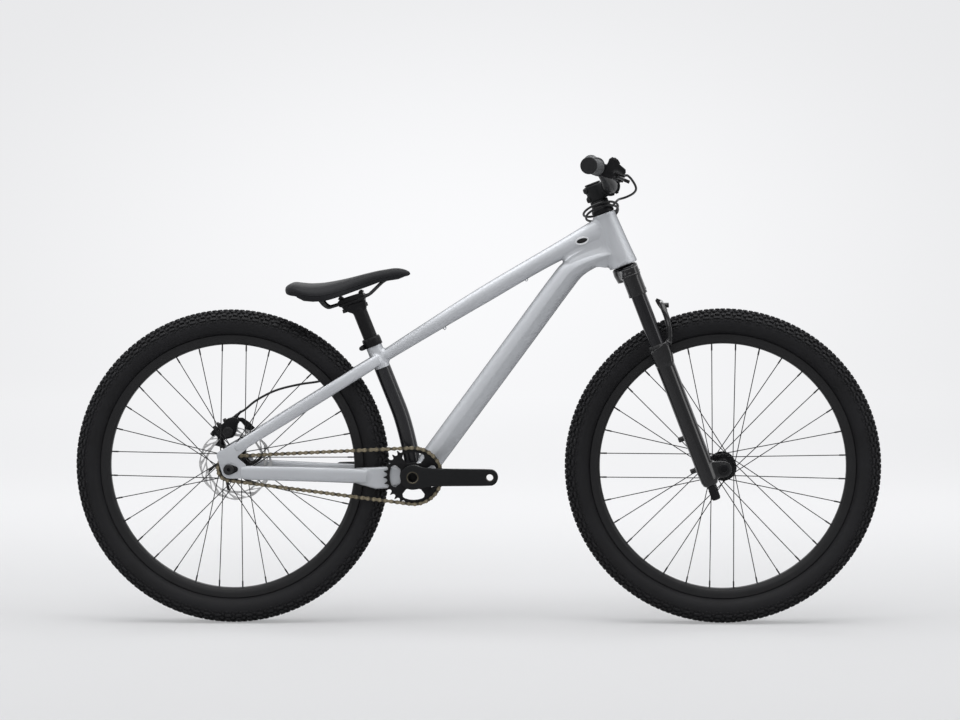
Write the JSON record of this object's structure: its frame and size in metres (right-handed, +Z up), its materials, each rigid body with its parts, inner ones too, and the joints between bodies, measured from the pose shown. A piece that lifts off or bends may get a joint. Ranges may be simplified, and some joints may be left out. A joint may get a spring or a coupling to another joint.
{
  "type": "dirt jump bicycle",
  "caption": "Single-speed dirt jump bike with a suspension fork, low saddle, rear disc brake with its hose wound round the head, and turning wheels, cranks and bars.",
  "frame": {"origin": "on the ground, midway between the two hubs, in the bike's middle plane", "axes": "+X forward, +Y to the rider's left, +Z up"},
  "size_m": [1.7386, 0.766, 1.0073],
  "materials": {
    "frame": "satin light silver-grey paint",
    "seat_tube": "gloss black towards the bottom bracket",
    "black": "satin black anodised",
    "gloss": "gloss black",
    "rubber": "matt black rubber",
    "saddle": "charcoal cover, fine grain",
    "grip": "dark grey rubber",
    "hose": "black hose jacket",
    "steel": "brushed",
    "chain": "bronze-brown plated links",
    "bearing": "ground"
  },
  "bodies": {
    "frame": {"head_tube": "frame", "top_tube": "frame", "down_tube": "frame", "seat_tube": "seat_tube", "bottom_bracket_yoke": "frame", "chainstay_left": "frame", "chainstay_right": "frame", "seatstay_left": "frame", "seatstay_right": "frame", "dropout_left": "frame", "dropout_right": "frame", "headset_bearing_upper": "bearing", "headset_bearing_lower": "bearing", "bottom_bracket_cup_left": "black", "bottom_bracket_cup_right": "black", "seat_collar": "black", "rear_axle": "black", "brake_caliper": "black", "brake_hose_rear": "hose"},
    "seat": {"seat_post": "black", "saddle_rail_clamp": "black", "saddle_clamp_bolt_front": "black", "saddle_clamp_bolt_rear": "black", "saddle_rails": "black", "saddle_base": "black", "saddle_pad": "saddle"},
    "steering": {"fork_crown_steerer": "gloss", "stanchion_left": "gloss", "stanchion_right": "gloss", "stem": "black", "stem_faceplate": "black", "stem_top_cap": "black", "headset_spacers": "black", "handlebar": "black", "grip_left": "grip", "grip_right": "grip", "brake_master_cylinder": "black", "brake_hose_front": "hose"},
    "fork_lower_legs": {"fork_lowers": "gloss", "front_axle": "black"},
    "front_wheel": {"front_tyre": "rubber", "front_rim": "black", "front_spokes_left": "black", "front_spokes_right": "black", "front_hub": "black"},
    "rear_wheel": {"rear_tyre": "rubber", "rear_rim": "black", "rear_spokes_left": "black", "rear_spokes_right": "black", "rear_hub": "black", "brake_rotor": "steel"},
    "freewheel": {"rear_cog": "black"},
    "cranks": {"crank_spindle": "black", "crank_arm_left": "black", "crank_arm_right": "black", "chainring": "black", "chain": "chain"},
    "lever": {"brake_lever": "black"},
    "pad_inner": {"brake_pad_inner": "bearing"},
    "pad_outer": {"brake_pad_outer": "bearing"}
  },
  "joints": [
    {"name": "steering_turn", "type": "hinge", "parent": "frame", "child": "steering", "pos_m": [0.27437, 0, 0.88427], "axis": [-0.3567, 0, 0.9342], "range_deg": [-90, 90], "deforming": ["brake_hose_front"]},
    {"name": "fork_travel", "type": "slide", "parent": "steering", "child": "fork_lower_legs", "axis": [-0.3567, 0, 0.9342], "range_m": [0, 0.1], "stiffness_N_per_m": 8000, "springref_m": -0.02},
    {"name": "front_wheel_spin", "type": "hinge", "parent": "fork_lower_legs", "child": "front_wheel", "pos_m": [0.5293, 0, 0.34], "axis": [0, 1, 0], "continuous": true},
    {"name": "rear_wheel_spin", "type": "hinge", "parent": "frame", "child": "rear_wheel", "pos_m": [-0.5293, 0, 0.34], "axis": [0, 1, 0], "continuous": true},
    {"name": "crank_spin", "type": "hinge", "parent": "frame", "child": "cranks", "pos_m": [-0.13426, 0, 0.3235], "axis": [0, 1, 0], "continuous": true, "deforming": ["chain"]},
    {"name": "freewheel_spin", "type": "hinge", "parent": "frame", "child": "freewheel", "pos_m": [-0.5293, 0, 0.34], "axis": [0, 1, 0], "continuous": true},
    {"name": "seat_height", "type": "slide", "parent": "frame", "child": "seat", "axis": [-0.3665, 0, 0.9304], "range_m": [-0.045, 0.06]},
    {"name": "brake_lever_pull", "type": "hinge", "parent": "steering", "child": "lever", "pos_m": [0.31067, -0.234, 0.96284], "axis": [-0.3923, 0, -0.9198], "range_deg": [0, 18], "stiffness_Nm_per_rad": 1.5, "springref_deg": -8.59},
    {"name": "pad_inner_slide", "type": "slide", "parent": "frame", "child": "pad_inner", "axis": [0, 1, 0], "range_m": [0, 0.0004]},
    {"name": "pad_outer_slide", "type": "slide", "parent": "frame", "child": "pad_outer", "axis": [0, -1, 0], "range_m": [0, 0.0004]}
  ],
  "couplings": [
    {"joint": "freewheel_spin", "follows": "crank_spin", "ratio": 2.3077},
    {"joint": "pad_inner_slide", "follows": "brake_lever_pull", "m_per_rad": 0.001241},
    {"joint": "pad_outer_slide", "follows": "brake_lever_pull", "m_per_rad": 0.001241}
  ]
}
